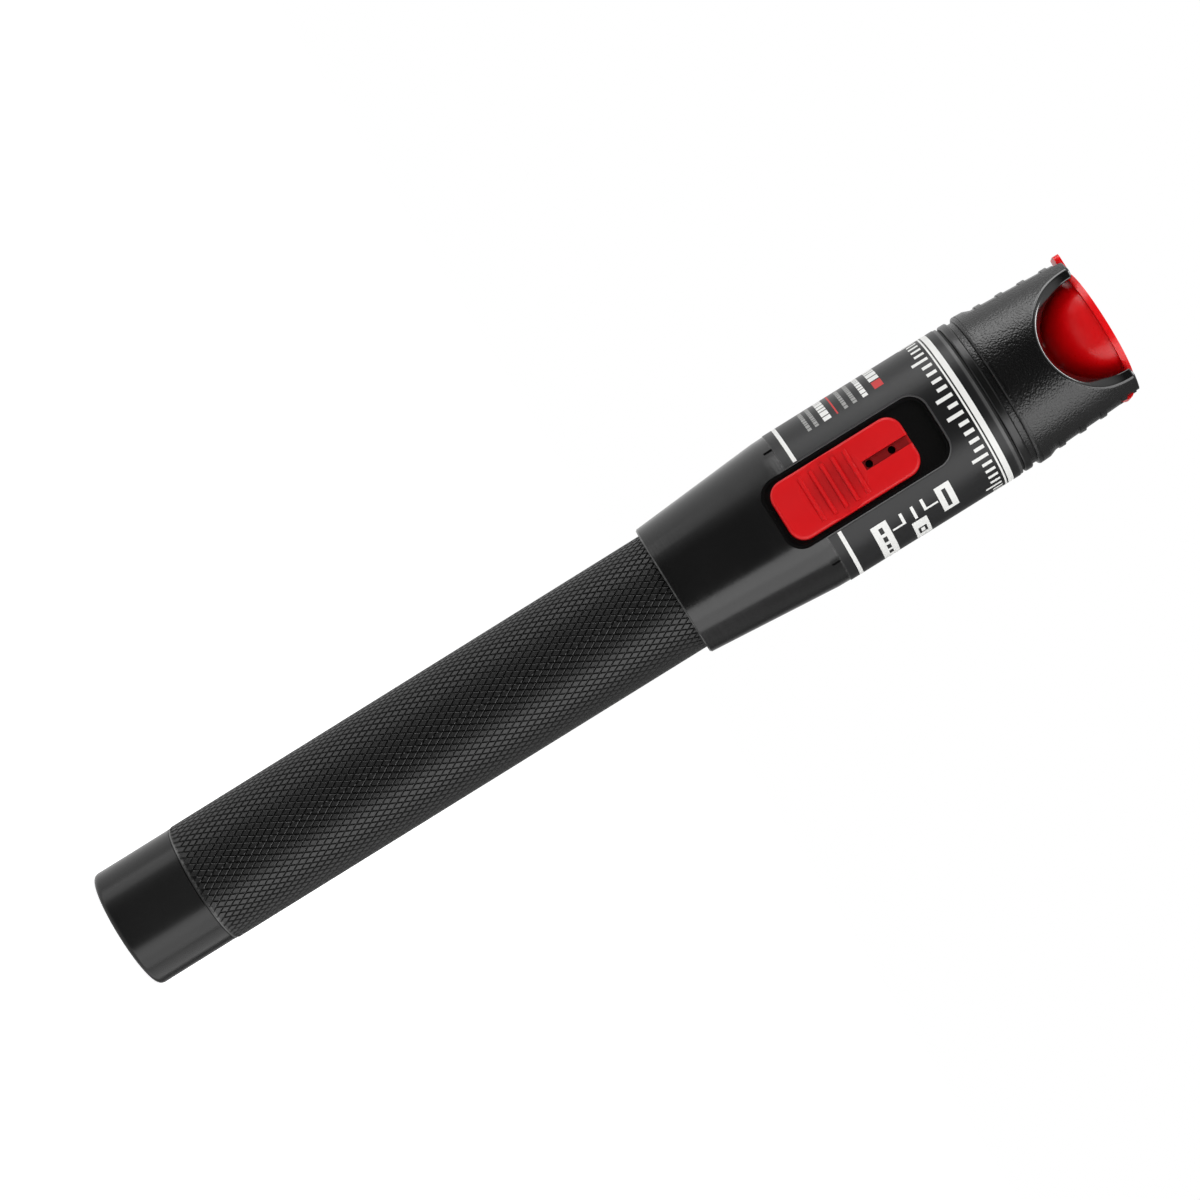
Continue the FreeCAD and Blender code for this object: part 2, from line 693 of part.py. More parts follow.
def make_head_shroud():
    """Moulded head: spigot, web, tapered shroud and two prongs."""
    outer = turned([
        (0, z_neck), (seal_r, z_neck), (seal_r, z_shroud), (shroud_r, z_shroud),
        (shroud_end_r, z_head_end), (0, z_head_end),
    ])
    outer = outer.makeFillet(shroud_edge, rims(outer, shroud_r, z_shroud))
    body = outer.fuse(rod(head_spigot_r, z_neck - head_spigot_len, z_neck)).removeSplitter()
    body = body.cut(rod(head_spigot_bore_r, z_neck - head_spigot_len, z_web))
    body = body.cut(rod(shroud_bore_r, z_web_end, z_head_end))
    body = body.cut(rod(barrel_r + slip, z_web, z_web_end))
    front = round_cut()
    back = front.copy()
    back.rotate(V(0, 0, 0), Z_AXIS, 180)
    body = body.cut(front).cut(back)
    body = body.makeFillet(shroud_edge, [e for e in body.Edges if on_surface(e)])
    z_bead = z_shroud + bead_len
    body = body.cut(tube(shroud_r + 1, shroud_radius(z_bead) - bead_groove_depth, z_bead, z_bead + bead_groove_w))
    body = body.cut(grip_panel(1)).cut(grip_panel(-1))
    slot_half = knuckle_w / 2 + knuckle_side_gap
    reach = shroud_r + 1
    body = body.cut(block(x_pin - knuckle_r - air, reach, -slot_half, slot_half, z_pin - knuckle_r - air, z_head_end))
    notch_half = tab_w / 2 + air
    notch = block(-reach, -shroud_bore_r / 2, -notch_half, notch_half, z_head_end - tab_notch_depth, z_head_end)
    body = body.cut(notch)
    return body.cut(Part.makeCylinder(pin_r, pin_len, V(x_pin, -pin_len / 2, z_pin), Y_AXIS))


# ------------------------------------------------------------------ dust cap
def make_dust_cap():
    """Flip-up bowl that seals the port, with a thumb tab and a hinge knuckle."""
    centre = V(0, 0, z_bowl)
    bowl = Part.makeSphere(bowl_r, centre, Z_AXIS, -90, 0, 360)
    flange = rod(cap_flange_r, z_bowl, z_bowl + cap_flange_t)
    boss = rod(boss_seal_r, z_boss, z_pole + bowl_wall)
    inner = bowl_r - bowl_wall
    hollow = Part.makeSphere(inner, centre, Z_AXIS, -90, 0, 360)
    tip = shroud_end_r + tab_out
    tab = block(-tip, -inner - bowl_wall / 2, -tab_w / 2, tab_w / 2, z_bowl, z_bowl + cap_flange_t)
    ends = [e for e in tab.Edges if e.BoundBox.XMax < -tip + 0.1 and abs(e.tangentAt(0).z) > 0.9]
    tab = tab.makeFillet(tab_corner, ends)
    body = bowl.fuse([flange, boss, tab, hinge_arm()])
    body = body.cut(hollow).cut(rod(inner, z_bowl, z_bowl + cap_flange_t))
    bore = Part.makeCylinder(pin_r + slip, knuckle_w, V(x_pin, -knuckle_w / 2, z_pin), Y_AXIS)
    return body.cut(bore).removeSplitter()


def hinge_arm():
    """Knuckle round the pin and the wedge that joins it to the flange."""
    z_top = z_bowl + cap_flange_t
    root = bowl_r - bowl_wall / 2
    side = [
        V(root, 0, z_bowl), V(root, 0, z_top), V(cap_flange_r, 0, z_top),
        V(x_pin, 0, z_pin + knuckle_r), V(x_pin, 0, z_pin), V(x_pin - knuckle_r, 0, z_pin),
    ]
    wedge = Part.Face(Part.makePolygon(side + side[:1])).extrude(V(0, knuckle_w, 0))
    knuckle = Part.makeCylinder(knuckle_r, knuckle_w, V(x_pin, 0, z_pin), Y_AXIS)
    arm = wedge.fuse(knuckle)
    arm.translate(V(0, -knuckle_w / 2, 0))
    return arm


def make_hinge_pin():
    return Part.makeCylinder(pin_r, pin_len, V(x_pin, -pin_len / 2, z_pin), Y_AXIS)


# ------------------------------------------------------------------ all pieces
def all_pieces():
    """Every node's name with its shape."""
    return {
        "tail_cap": make_tail_cap(),
        "tail_cap_seal": make_tail_cap_seal(),
        "tail_contact": make_tail_contact(),
        "battery_spring": make_battery_spring(),
        "battery_lower": make_battery(z_cell),
        "battery_upper": make_battery(z_cell + cell_len),
        "battery_tube": make_battery_tube(),
        "tube_front_seal": make_tube_front_seal(),
        "collar": make_collar(),
        "contact_carrier": make_contact_carrier(),
        "positive_contact": make_positive_contact(),
        "switch_housing": make_switch_housing(),
        "label_wrap": make_label_wrap(),
        "switch_tray": make_switch_tray(),
        "slider_button": make_slider_button(),
        "switch_lever": make_switch_lever(),
        "slide_switch": make_slide_switch(),
        "circuit_board": make_circuit_board(),
        "board_screws": make_board_screws(),
        "laser_barrel": make_laser_barrel(),
        "laser_diode": make_laser_diode(),
        "focusing_lens": make_focusing_lens(),
        "port_nose": make_port_nose(),
        "ferrule_sleeve": make_ferrule_sleeve(),
        "head_seal": make_head_seal(),
        "front_ring": make_front_ring(),
        "head_shroud": make_head_shroud(),
        "dust_cap": make_dust_cap(),
        "hinge_pin": make_hinge_pin(),
    }


os.makedirs("parts", exist_ok=True)
for name, shape in all_pieces().items():
    shape.exportStep("parts/" + name + ".step")
    print(name, shape.isValid(), len(shape.Solids), len(shape.Faces), round(shape.Volume, 1))
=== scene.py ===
import math

import bmesh
import bpy
from bpy.props import FloatProperty, FloatVectorProperty, IntProperty, PointerProperty
from mathutils import Matrix, Vector


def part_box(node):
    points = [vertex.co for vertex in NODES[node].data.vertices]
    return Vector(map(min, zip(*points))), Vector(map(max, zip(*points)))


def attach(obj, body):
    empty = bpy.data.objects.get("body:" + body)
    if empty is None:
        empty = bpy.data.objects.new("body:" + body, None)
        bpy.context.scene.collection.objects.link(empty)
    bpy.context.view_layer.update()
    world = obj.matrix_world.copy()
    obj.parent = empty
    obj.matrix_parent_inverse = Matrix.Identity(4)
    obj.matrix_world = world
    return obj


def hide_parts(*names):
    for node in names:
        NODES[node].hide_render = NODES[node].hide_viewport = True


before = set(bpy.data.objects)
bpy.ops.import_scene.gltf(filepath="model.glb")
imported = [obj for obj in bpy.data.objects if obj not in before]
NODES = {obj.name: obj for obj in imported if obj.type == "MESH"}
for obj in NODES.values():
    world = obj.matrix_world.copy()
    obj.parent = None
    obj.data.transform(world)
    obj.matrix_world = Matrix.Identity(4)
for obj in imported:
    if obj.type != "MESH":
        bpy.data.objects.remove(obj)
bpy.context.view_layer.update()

bl_info = {
    "name": "Pen fault locator",
    "version": (1, 0, 0),
    "blender": (4, 5, 0),
    "location": "View3D > Sidebar > Fault locator",
    "description": "Dresses the pen-type visual fault locator and sets up its studio",
    "category": "Object",
}

MM = 0.001
RUBBED_METAL_AND_HIGHLIGHT = (0.14, 0.14, 0.137)
SEAM_SHADE_BLACK = (0.001, 0.001, 0.001)
CUT_FILM = (0.05, 0.05, 0.05)


def high(node, axis):
    """Highest coordinate of a CAD node, in metres."""
    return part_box(node)[1][axis]


def low(node, axis):
    """Lowest coordinate of a CAD node, in metres."""
    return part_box(node)[0][axis]


# ---------------------------------------------------------------- settings
class KnurlSettings(bpy.types.PropertyGroup):
    """Diamond knurl of the grip tube."""

    starts: IntProperty(name="Starts", description="Grooves of each hand round the tube", default=55, min=8)
    lead_row: FloatProperty(name="Row length", description="Length of one diamond along the tube",
                            default=2.0 * MM, unit="LENGTH", precision=5)
    depth: FloatProperty(name="Depth", description="From the crests to the bottom of the grooves",
                         default=0.21 * MM, unit="LENGTH", precision=5)
    crest: FloatProperty(name="Crest share", description="Flat top of a diamond as a share of its base",
                         default=0.68, min=0.1, max=0.95, subtype="FACTOR")
    radius: FloatProperty(name="Crest radius", description="Outer radius of the diamonds",
                          default=high("battery_tube", 0) + 0.07 * MM, unit="LENGTH", precision=5)


class HeadSettings(bpy.types.PropertyGroup):
    """Rolled lip round the two cut-outs of the head."""

    cut_radius: FloatProperty(name="Cut-out radius", description="Radius of the cut-outs seen from the front",
                              default=9.86 * MM, unit="LENGTH", precision=5)
    cut_drop: FloatProperty(name="Centre drop", description="Centre of a cut-out below the head's end",
                            default=0.8 * MM, unit="LENGTH", precision=5)
    lip: FloatProperty(name="Lip width", description="Width of the smooth rolled lip",
                       default=0.95 * MM, unit="LENGTH", precision=5)
    inward: FloatProperty(name="Lip inward", description="How far the lip stands into the cut-out",
                          default=0.2 * MM, unit="LENGTH", precision=5)
    draft: FloatProperty(name="Lip draft", description="How much further the lip stands in at its inner edge",
                         default=0.6 * MM, unit="LENGTH", precision=5)
    wall: FloatProperty(name="Wall", description="Thickness of the shroud at the head's end",
                        default=1.4 * MM, unit="LENGTH", precision=5)
    taper: FloatProperty(name="Taper", description="Loss of radius from the shroud's rear edge to its end",
                         default=1.04 * MM, unit="LENGTH", precision=5)


class PrintSettings(bpy.types.PropertyGroup):
    """Generic marks printed on the label."""

    film: FloatProperty(name="Ink film", description="Thickness of the printed marks",
                        default=0.012 * MM, unit="LENGTH", precision=6)
    line: FloatProperty(name="Leader width", description="Width of the leader lines",
                        default=0.5 * MM, unit="LENGTH", precision=5)
    bars: IntProperty(name="Scale bars", description="Bars in the ring of marks near the head",
                      default=52, min=4)


class ColourSettings(bpy.types.PropertyGroup):
    """Colours of the main finishes."""

    anodised: FloatVectorProperty(name="Anodised grip", description="Tail cap and grip tube",
                                  default=(0.0115, 0.0115, 0.0115), size=3, subtype="COLOR")
    collar: FloatVectorProperty(name="Gloss collar", description="Collar behind the switch",
                                default=(0.0060, 0.0060, 0.0060), size=3, subtype="COLOR")
    label: FloatVectorProperty(name="Label film", description="Printed wrap round the housing",
                               default=(0.0085, 0.0085, 0.009), size=3, subtype="COLOR")
    moulding: FloatVectorProperty(name="Black mouldings", description="Head, ring and switch pocket",
                                  default=(0.0030, 0.0030, 0.0030), size=3, subtype="COLOR")
    slider: FloatVectorProperty(name="Slider red", description="Thumb slider",
                                default=(0.60, 0.0020, 0.0045), size=3, subtype="COLOR")
    cap: FloatVectorProperty(name="Cap red", description="Dust cap",
                             default=(0.63, 0.0010, 0.0030), size=3, subtype="COLOR")
    ink: FloatVectorProperty(name="Ink", description="Printed marks",
                             default=(0.82, 0.82, 0.80), size=3, subtype="COLOR")


class StudioSettings(bpy.types.PropertyGroup):
    """Camera, floor and lamps."""

    azimuth: FloatProperty(name="Azimuth", description="Camera direction round the pen",
                           default=math.radians(3.273), subtype="ANGLE")
    distance: FloatProperty(name="Distance", description="From the camera to the pen's axis",
                            default=0.6208, unit="LENGTH")
    height: FloatProperty(name="Height", description="Camera above the floor", default=0.1058, unit="LENGTH")
    pan: FloatProperty(name="Pan", description="Camera turned off the pen's axis",
                       default=math.radians(0.445), subtype="ANGLE")
    tilt: FloatProperty(name="Tilt", description="Camera turned up",
                        default=math.radians(-1.478), subtype="ANGLE")
    roll: FloatProperty(name="Roll", description="Camera rolled about its own axis",
                        default=math.radians(58.134), subtype="ANGLE")
    strip: FloatProperty(name="Strip light", description="Radiance of the sharp lights on the +X side",
                         default=2.1, min=0)
    wing: FloatProperty(name="Wing light", description="Radiance of the soft lights on the -X side",
                        default=4.0, min=0)
    crown: FloatProperty(name="Crown light", description="Radiance of the small light above the head",
                         default=10.0, min=0)
    fill: FloatProperty(name="Front fill", description="Radiance of the soft light near the camera",
                        default=2.0, min=0)


SETTINGS = {
    "fault_locator_knurl": KnurlSettings,
    "fault_locator_head": HeadSettings,
    "fault_locator_print": PrintSettings,
    "fault_locator_colours": ColourSettings,
    "fault_locator_studio": StudioSettings,
}


# ---------------------------------------------------------------- node helpers
class Value:
    """One socket of a node tree. Arithmetic on it adds Math nodes."""

    def __init__(self, graph, socket):
        self.graph, self.socket = graph, socket

    def math(self, operation, first, second=0.0):
        return self.graph.node("ShaderNodeMath", {"operation": operation}, {0: first, 1: second})[0]

    def __add__(self, other):
        return self.math("ADD", self, other)

    def __radd__(self, other):
        return self.math("ADD", other, self)

    def __sub__(self, other):
        return self.math("SUBTRACT", self, other)

    def __rsub__(self, other):
        return self.math("SUBTRACT", other, self)

    def __mul__(self, other):
        return self.math("MULTIPLY", self, other)

    def __rmul__(self, other):
        return self.math("MULTIPLY", other, self)

    def __truediv__(self, other):
        return self.math("DIVIDE", self, other)

    def __rtruediv__(self, other):
        return self.math("DIVIDE", other, self)

    def __pow__(self, other):
        return self.math("POWER", self, other)

    def __neg__(self):
        return self.math("MULTIPLY", self, -1.0)

    def __abs__(self):
        return self.math("ABSOLUTE", self)

    def floor(self):
        return self.math("FLOOR", self)

    def fraction(self):
        return self.math("FRACT", self)

    def sign(self):
        return self.math("SIGN", self)

    def sin(self):
        return self.math("SINE", self)

    def cos(self):
        return self.math("COSINE", self)

    def most(self, other):
        """The larger of two values."""
        return self.math("MAXIMUM", self, other)

    def below(self, other):
        """1 where this value is less than the other, else 0."""
        return self.math("LESS_THAN", self, other)


class Graph:
    """A node tree that is written as expressions."""

    def __init__(self, tree):
        self.tree = tree

    def node(self, kind, settings=None, inputs=None):
        """Adds a node: its settings, then the values or links of its sockets. A list holds several links."""
        made = self.tree.nodes.new(kind)
        for key, value in (settings or {}).items():
            setattr(made, key, value)
        for key, value in (inputs or {}).items():
            for item in value if isinstance(value, list) else [value]:
                if isinstance(item, Value):
                    self.tree.links.new(item.socket, made.inputs[key])
                else:
                    made.inputs[key].default_value = item
        return [Value(self, socket) for socket in made.outputs]

    def split(self, vector):
        """The three values of a vector."""
        return self.node("ShaderNodeSeparateXYZ", None, {0: vector})

    def joined(self, x, y, z):
        """A vector from three values."""
        return self.node("ShaderNodeCombineXYZ", None, {0: x, 1: y, 2: z})[0]

    def ease(self, value, start, end, before=0.0, after=1.0):
        """Smooth step: one value up to the start, another from the end on."""
        inputs = {"Value": value, "From Min": start, "From Max": end, "To Min": before, "To Max": after}
        return self.node("ShaderNodeMapRange", {"interpolation_type": "SMOOTHSTEP"}, inputs)[0]

    def band(self, value, start, end, soft):
        """1 between start and end, fading to 0 over the soft width."""
        return self.ease(value, start - soft, start + soft) * (1.0 - self.ease(value, end - soft, end + soft))


def rgba(colour):
    """A colour for a socket: a link, or three numbers made four."""
    return colour if isinstance(colour, Value) else (*colour, 1.0)


def scaled(colour, factor):
    """Colour made lighter or darker."""
    return tuple(min(1.0, channel * factor) for channel in colour)


class Finish(Graph):
    """One procedural material. Its patterns follow the place on the part in metres."""

    def __init__(self, name):
        self.material = bpy.data.materials.new(name)
        self.material.use_nodes = True
        super().__init__(self.material.node_tree)
        self.tree.nodes.clear()
        coordinates = self.node("ShaderNodeTexCoord")
        self.facing, self.place = coordinates[1], coordinates[3]

    def noise(self, scale, detail=2.0, rough=0.5):
        """Noise between 0 and 1, its scale in waves per metre. Three numbers give each axis its own."""
        place = self.place
        if isinstance(scale, tuple):
            inputs = {"Vector": place, "Scale": scale}
            place, scale = self.node("ShaderNodeMapping", {"vector_type": "POINT"}, inputs)[0], 1.0
        inputs = {"Vector": place, "Scale": scale, "Detail": detail, "Roughness": rough}
        return self.node("ShaderNodeTexNoise", {"noise_dimensions": "3D"}, inputs)[0]

    def cells(self, scale):
        """Distance to the nearest cell point."""
        inputs = {"Vector": self.place, "Scale": scale}
        return self.node("ShaderNodeTexVoronoi", {"feature": "SMOOTH_F1"}, inputs)[0]

    def near(self, value, stations, width):
        """1 close to any of the stations along a value."""
        mask = None
        for station in stations:
            here = self.band(value, station - width, station + width, width * 0.6)
            mask = here if mask is None else mask.most(here)
        return mask

    def blend(self, share, first, second):
        """Colour between two colours."""
        settings = {"data_type": "RGBA", "blend_type": "MIX", "clamp_factor": True}
        return self.node("ShaderNodeMix", settings, {0: share, 6: rgba(first), 7: rgba(second)})[2]

    def bump(self, height, distance, strength):
        """Normal of a surface raised by height times distance in metres."""
        inputs = {"Strength": strength, "Distance": distance, "Height": height}
        return self.node("ShaderNodeBump", None, inputs)[0]

    def shade(self, base, rough, normal, metal=0.0, **fixed):
        """Closes the material with a Principled shader. Fixed inputs have _ for each space in their names."""
        inputs = {"Base Color": rgba(base), "Roughness": rough, "Metallic": metal, "Normal": normal}
        inputs.update((key.replace("_", " "), value) for key, value in fixed.items())
        shader = self.node("ShaderNodeBsdfPrincipled", None, inputs)[0]
        self.node("ShaderNodeOutputMaterial", None, {"Surface": shader})
        return self.material


# ---------------------------------------------------------------- finishes
def knurl_painted_light(root, crest):
    """Painted light of a knurl between two radii: painted shade in the roots, a painted highlight on flanks
    that face up and outwards, and painted shade on the other flanks.
    """

    def shade(finish, tone, colour):
        x, y, _ = finish.split(finish.place)
        radius = (x * x + y * y) ** 0.5
        side, _, rise = finish.split(finish.facing)
        # painted highlight on flanks that face up and outwards, painted shade on the rest
        lit = finish.ease(rise, 0.15, 0.3) * finish.ease(side * x.sign(), 0.35, 0.6)
        painted_flank = finish.blend(lit, scaled(colour, 0.5), scaled(colour, 11.0))
        tone = finish.blend(finish.ease(radius, crest - 0.03 * MM, crest - 0.01 * MM), painted_flank, tone)
        # painted shade in the groove roots
        return finish.blend(finish.ease(radius, root, root + 0.06 * MM), scaled(colour, 0.2), tone)

    return shade


def slider_painted_shade(finish, tone, colour):
    """Painted shade on the slider: darker red in its finger dish and channel, and near black holes, where
    shade falls.
    """
    top, end = low("slider_button", 1), high("slider_button", 2)
    bend = 16.0 * MM
    half_width, hole_start, hole_end = 0.8 * MM, end - 8.2 * MM, end - 0.4 * MM
    x, y, z = finish.split(finish.place)
    across = y - (top + bend)
    depth = bend - (x * x + across * across) ** 0.5
    dish = finish.ease(depth, 0.1 * MM, 0.9 * MM)
    middle = finish.ease(abs(x), half_width + 0.1 * MM, half_width - 0.05 * MM)
    inside = middle * finish.band(z, hole_start, hole_end, 0.05 * MM)
    channel, holes = finish.ease(depth, 0.7 * MM, 1.3 * MM), finish.ease(depth, 1.45 * MM, 2.0 * MM)
    # painted shade: the dish darker, the channel darker still, the holes near black
    tone = finish.blend(dish * 0.45, tone, scaled(colour, 0.35))
    tone = finish.blend(inside * channel * 0.35, tone, scaled(colour, 0.2))
    return finish.blend(inside * holes, tone, scaled(colour, 0.01))


def cap_painted_glow(finish, tone, colour):
    """Painted glow of the dust cap: its thin rim made lighter, standing in for light that shines through it.
    """
    rim = high("dust_cap", 2) - 1.0 * MM
    thin = finish.ease(finish.split(finish.place)[2], rim - 0.5 * MM, rim + 0.3 * MM)
    # painted glow on the thin rim
    return finish.blend(thin, tone, scaled(colour, 1.12))


def anodised(name, colour, rough, level, turning, grain, edges, seams=(), painted_light_and_shade=None):
    """Turned and anodised aluminium: fine rings, specks and grain, rubbed edges with a painted edge
    highlight, and black seams that are painted shade of the gaps. A part may add its own painted light and
    shade.
    """
    finish = Finish(name)
    z = finish.split(finish.place)[2]
    rings = finish.noise((60.0, 60.0, 5200.0), 3.0, 0.7)
    cloud = finish.noise(120.0, 3.0)
    specks = finish.ease(finish.noise(5200.0, 2.0, 0.6), 0.62, 0.8)
    rubbed = finish.ease(finish.noise(700.0, 4.0, 0.7), 0.35, 0.75)
    wear_and_edge_highlight = finish.near(z, edges, 0.16 * MM) * rubbed
    tone = finish.blend(cloud, scaled(colour, 0.82), scaled(colour, 1.2))
    tone = finish.blend(specks * 0.35, tone, scaled(colour, 3.0))
    # the part's own painted light and shade
    if painted_light_and_shade is not None:
        tone = painted_light_and_shade(finish, tone, colour)
    # rubbed edges lighter: real wear together with a painted edge highlight
    tone = finish.blend(wear_and_edge_highlight * 0.8, tone, RUBBED_METAL_AND_HIGHLIGHT)
    if seams:
        # painted shade: a black band where the gap at each seam would be shaded
        tone = finish.blend(finish.near(z, seams, 0.1 * MM), tone, SEAM_SHADE_BLACK)
    roughness = rough + (cloud - 0.5) * 0.10 + (rings - 0.5) * 0.16 * turning + wear_and_edge_highlight * 0.08
    height = rings * turning + finish.noise(1.0 / grain, 2.0, 0.55) * 0.5
    return finish.shade(tone, roughness, finish.bump(height, 0.012 * MM, 0.6), Specular_IOR_Level=level)


def moulded(name, colour, rough, grain, depth, level=0.5, pebbled=False, scuffs=0.0):
    """Moulded plastic: spark-eroded grain or pebbles, flow clouds and light scuffs."""
    finish = Finish(name)
    cloud = finish.noise(90.0, 3.0)
    fine = finish.noise(1.0 / grain, 3.0, 0.55)
    height = fine
    if pebbled:
        pebbles = finish.ease(finish.cells(1.0 / (grain * 1.3)), 0.75, 0.15)
        height = pebbles * 0.6 + finish.noise(0.8 / grain, 2.0) * 0.7
    scuff = finish.ease(finish.noise((900.0, 900.0, 240.0), 5.0, 0.75), 0.66, 0.78) * scuffs
    tone = finish.blend(cloud, scaled(colour, 0.85), scaled(colour, 1.15))
    tone = finish.blend(scuff * 0.5, tone, scaled(colour, 2.2))
    roughness = rough + (cloud - 0.5) * 0.08 + (fine - 0.5) * 0.10 + scuff * 0.12
    return finish.shade(tone, roughness, finish.bump(height, depth, 1.0), Specular_IOR_Level=level)


def plain_metal(name, colour, rough):
    """Bare metal with fine tool marks and slight tarnish."""
    finish = Finish(name)
    marks = finish.noise((300.0, 300.0, 4000.0), 3.0, 0.6)
    tarnish = finish.ease(finish.noise(350.0, 4.0, 0.6), 0.45, 0.8)
    tone = finish.blend(tarnish * 0.6, colour, scaled(colour, 0.62))
    roughness = rough + tarnish * 0.15 + (marks - 0.5) * 0.12
    return finish.shade(tone, roughness, finish.bump(marks, 0.01 * MM, 0.7), metal=1.0)


def label_finish(colour):
    """Satin label film with a faint orange-peel surface and lighter cut edges."""
    finish = Finish("label_film")
    cloud = finish.noise(150.0, 3.0)
    peel = finish.noise(1700.0, 2.0, 0.5)
    z = finish.split(finish.place)[2]
    cut = finish.near(z, (low("label_wrap", 2), high("label_wrap", 2)), 0.12 * MM)
    tone = finish.blend(cloud, scaled(colour, 0.85), scaled(colour, 1.25))
    tone = finish.blend(cut * 0.4, tone, CUT_FILM)
    roughness = 0.36 + (cloud - 0.5) * 0.1 + (peel - 0.5) * 0.08
    return finish.shade(tone, roughness, finish.bump(peel, 0.02 * MM, 0.5), Specular_IOR_Level=0.33)


def red_plastic(name, colour, rough, level, grain, depth, glow, reach, painted_light_and_shade):
    """Red moulding with fine grain. A share of the light, the glow, reaches a little way into it."""
    finish = Finish(name)
    cloud = finish.noise(110.0, 3.0)
    fine = finish.noise(1.0 / grain, 3.0, 0.6)
    red, green, blue = colour
    dusty = (red, green + 0.02, blue + 0.02)
    tone = finish.blend(cloud, scaled(colour, 0.88), scaled(colour, 1.08))
    tone = finish.blend(finish.ease(fine, 0.6, 0.85) * 0.15, tone, dusty)
    # the part's own painted shade or painted glow
    tone = painted_light_and_shade(finish, tone, colour)
    roughness = rough + (cloud - 0.5) * 0.08 + (fine - 0.5) * 0.08
    normal = finish.bump(fine + finish.noise(420.0, 2.0) * 1.2, depth, 0.7)
    return finish.shade(tone, roughness, normal, Subsurface_Weight=glow, Subsurface_Scale=reach,
                        Specular_IOR_Level=level)


def ink_finish(name, colour):
    """Screen-printed ink with a faint mesh."""
    finish = Finish(name)
    mesh = finish.noise(6000.0, 1.0)
    cloud = finish.noise(400.0, 3.0)
    tone = finish.blend(cloud * 0.5 + mesh * 0.3, colour, scaled(colour, 0.86))
    return finish.shade(tone, 0.5 + (mesh - 0.5) * 0.15, finish.bump(mesh, 0.004 * MM, 0.5))


def give(material, *names):
    """Puts one material on CAD nodes."""
    for name in names:
        data = NODES[name].data
        data.materials.clear()
        data.materials.append(material)


# ---------------------------------------------------------------- mesh helpers
def piece_from(mesh, name, body, material, replaces=()):
    """Makes a mesh a piece of the part that rides on a body."""
    piece = bpy.data.objects.new(name, mesh)
    bpy.context.scene.collection.objects.link(piece)
    mesh.materials.clear()
    mesh.materials.append(material)
    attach(piece, body)
    if replaces:
        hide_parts(*replaces)


def finished(shape, name):
    """Turns a bmesh into a mesh whose faces point outwards."""
    bmesh.ops.recalc_face_normals(shape, faces=shape.faces)
    mesh = bpy.data.meshes.new(name)
    shape.to_mesh(mesh)
    shape.free()
    return mesh


def lathe(profile, segments):
    """Closed solid of revolution about Z from a loop of (radius, height) corners."""
    shape = bmesh.new()
    rings = []
    for index in range(segments):
        turn = math.tau * index / segments
        rings.append([shape.verts.new((r * math.cos(turn), r * math.sin(turn), z)) for r, z in profile])
    for index, ring in enumerate(rings):
        after = rings[(index + 1) % segments]
        for corner in range(len(profile)):
            step = (corner + 1) % len(profile)
            shape.faces.new((ring[corner], after[corner], after[step], ring[step]))
    return finished(shape, "lathe")


def turned_out(mesh):
    """Makes the faces of a closed mesh point outwards."""
    shape = bmesh.new()
    shape.from_mesh(mesh)
    bmesh.ops.recalc_face_normals(shape, faces=shape.faces)
    shape.to_mesh(mesh)
    shape.free()


def node_tree(name, sockets):
    """A new Geometry Nodes tree with named inputs: returns its graph and the inputs by name."""
    tree = bpy.data.node_groups.new(name, "GeometryNodeTree")
    tree.interface.new_socket("Geometry", in_out="INPUT", socket_type="NodeSocketGeometry")
    tree.interface.new_socket("Geometry", in_out="OUTPUT", socket_type="NodeSocketGeometry")
    for socket, (kind, default) in sockets.items():
        made = tree.interface.new_socket(socket, in_out="INPUT", socket_type="NodeSocket" + kind)
        if default is not None:
            made.default_value = default
    graph = Graph(tree)
    outputs = graph.node("NodeGroupInput")
    return graph, dict(zip(["Geometry", *sockets], outputs))


def on_wall(graph, count, place, outward, shape, size):
    """Instances of a shape on points of a round wall: its Z points outwards, its X along the part."""
    turned = graph.node("FunctionNodeAxesToRotation", {"primary_axis": "Z", "secondary_axis": "X"}, {
        "Primary Axis": outward, "Secondary Axis": (0.0, 0.0, 1.0),
    })[0]
    points = graph.node("GeometryNodePoints", None, {"Count": count, "Position": place})[0]
    return graph.node("GeometryNodeInstanceOnPoints", None, {
        "Points": points, "Instance": shape, "Rotation": turned, "Scale": size,
    })[0]


def closed(graph, geometry, material):
    """Ends a tree: instances made real, one material, and the output. Returns the tree."""
    solid = graph.node("GeometryNodeRealizeInstances", None, {"Geometry": geometry})[0]
    dressed = graph.node("GeometryNodeSetMaterial", None, {"Geometry": solid, "Material": material})[0]
    graph.node("NodeGroupOutput", None, {0: dressed})
    return graph.tree


def baked(mesh, tree, values):
    """Runs a Geometry Nodes tree on a mesh and returns the plain result."""
    maker = bpy.data.objects.new("maker", mesh)
    bpy.context.scene.collection.objects.link(maker)
    modifier = maker.modifiers.new("nodes", "NODES")
    modifier.node_group = tree
    names = {item.name: item.identifier for item in tree.interface.items_tree if item.in_out == "INPUT"}
    for name, value in values.items():
        modifier[names[name]] = value
    bpy.context.view_layer.update()
    graph = bpy.context.evaluated_depsgraph_get()
    result = bpy.data.meshes.new_from_object(maker.evaluated_get(graph), depsgraph=graph)
    maker.modifiers.remove(modifier)
    bpy.data.objects.remove(maker)
    return result


